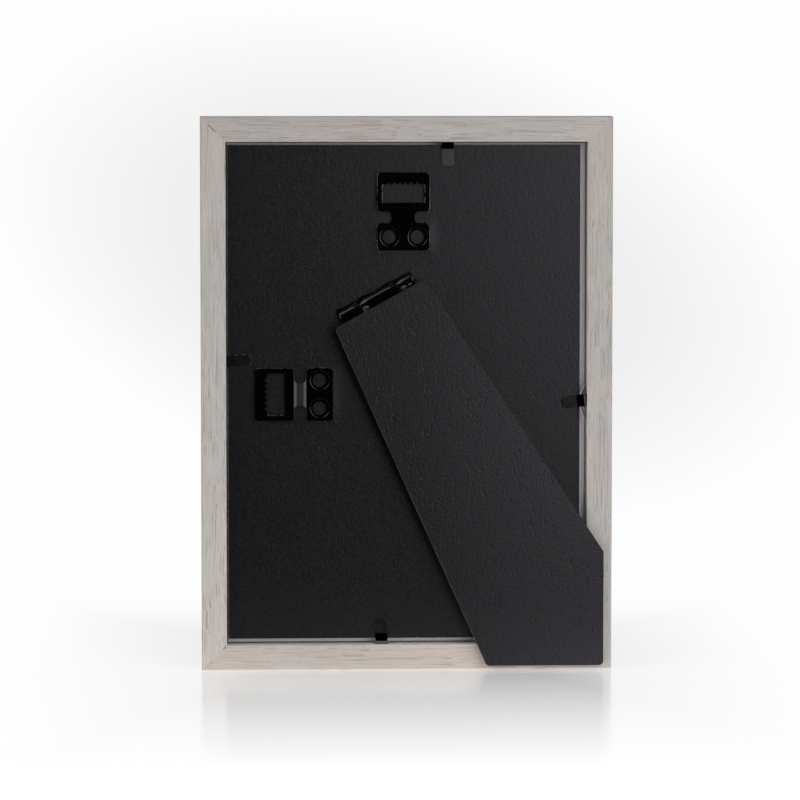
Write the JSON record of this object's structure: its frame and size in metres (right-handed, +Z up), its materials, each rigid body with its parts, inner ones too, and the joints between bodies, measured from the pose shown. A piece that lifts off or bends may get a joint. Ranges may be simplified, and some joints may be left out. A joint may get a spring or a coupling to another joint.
{
  "type": "easel back photo frame",
  "caption": "Upright photo frame with mitred wood-look rails, a black easel back, folding strut on a knuckle hinge, sawtooth hangers and bendable tabs.",
  "frame": {"origin": "middle of the bottom rail's underside, on which the frame stands", "axes": "+X to the right as seen from behind, +Z up, the easel back faces -Y and the glass faces +Y"},
  "size_m": [0.147, 0.0168, 0.198],
  "materials": {
    "wood_look_foil": "pale greige wood-look foil on fibre board, satin",
    "clear_glass": "clear float glass",
    "white_paper": "plain white paper",
    "fibre_board": "dark fibre board with inked edges",
    "embossed_black_paper": "black paper with a fine leather emboss",
    "black_spring_steel": "blackened soft steel, satin",
    "black_gloss_steel": "black lacquered steel, gloss",
    "bare_wire": "drawn wire, darkened"
  },
  "bodies": {
    "frame": {"rail_bottom": "wood_look_foil", "rail_right": "wood_look_foil", "rail_top": "wood_look_foil", "rail_left": "wood_look_foil", "glass_pane": "clear_glass", "picture_insert": "white_paper", "back_board": "fibre_board", "back_cover_paper": "embossed_black_paper", "tab_shanks": "black_spring_steel", "hanger_portrait": "black_gloss_steel", "hanger_landscape": "black_gloss_steel", "eyelets_portrait": "black_gloss_steel", "eyelets_landscape": "black_gloss_steel", "hinge_leaf_panel": "black_gloss_steel", "hinge_pin": "bare_wire", "rivets_panel_leaf": "black_gloss_steel"},
    "strut": {"strut_board": "fibre_board", "strut_cover_paper": "embossed_black_paper", "hinge_leaf_strut": "black_gloss_steel", "rivets_strut_leaf": "black_gloss_steel"},
    "top_tab": {"tab_top": "black_spring_steel"},
    "bottom_tab": {"tab_bottom": "black_spring_steel"},
    "left_tab": {"tab_left": "black_spring_steel"},
    "right_tab": {"tab_right": "black_spring_steel"}
  },
  "joints": [
    {"name": "strut_hinge", "type": "hinge", "parent": "frame", "child": "strut", "pos_m": [-0.0109, -0.00507, 0.13345], "axis": [-0.8771, 0, -0.4802], "range_deg": [0, 30]},
    {"name": "top_tab_bend", "type": "hinge", "parent": "frame", "child": "top_tab", "pos_m": [0.01465, -0.00492, 0.1884], "axis": [-1, 0, 0], "range_deg": [0, 110]},
    {"name": "bottom_tab_bend", "type": "hinge", "parent": "frame", "child": "bottom_tab", "pos_m": [-0.0091, -0.00492, 0.0096], "axis": [1, 0, 0], "range_deg": [0, 110]},
    {"name": "left_tab_bend", "type": "hinge", "parent": "frame", "child": "left_tab", "pos_m": [-0.0639, -0.00492, 0.111], "axis": [0, 0, -1], "range_deg": [0, 110]},
    {"name": "right_tab_bend", "type": "hinge", "parent": "frame", "child": "right_tab", "pos_m": [0.0639, -0.00492, 0.09653], "axis": [-0.1132, 0, 0.9936], "range_deg": [0, 110]}
  ]
}
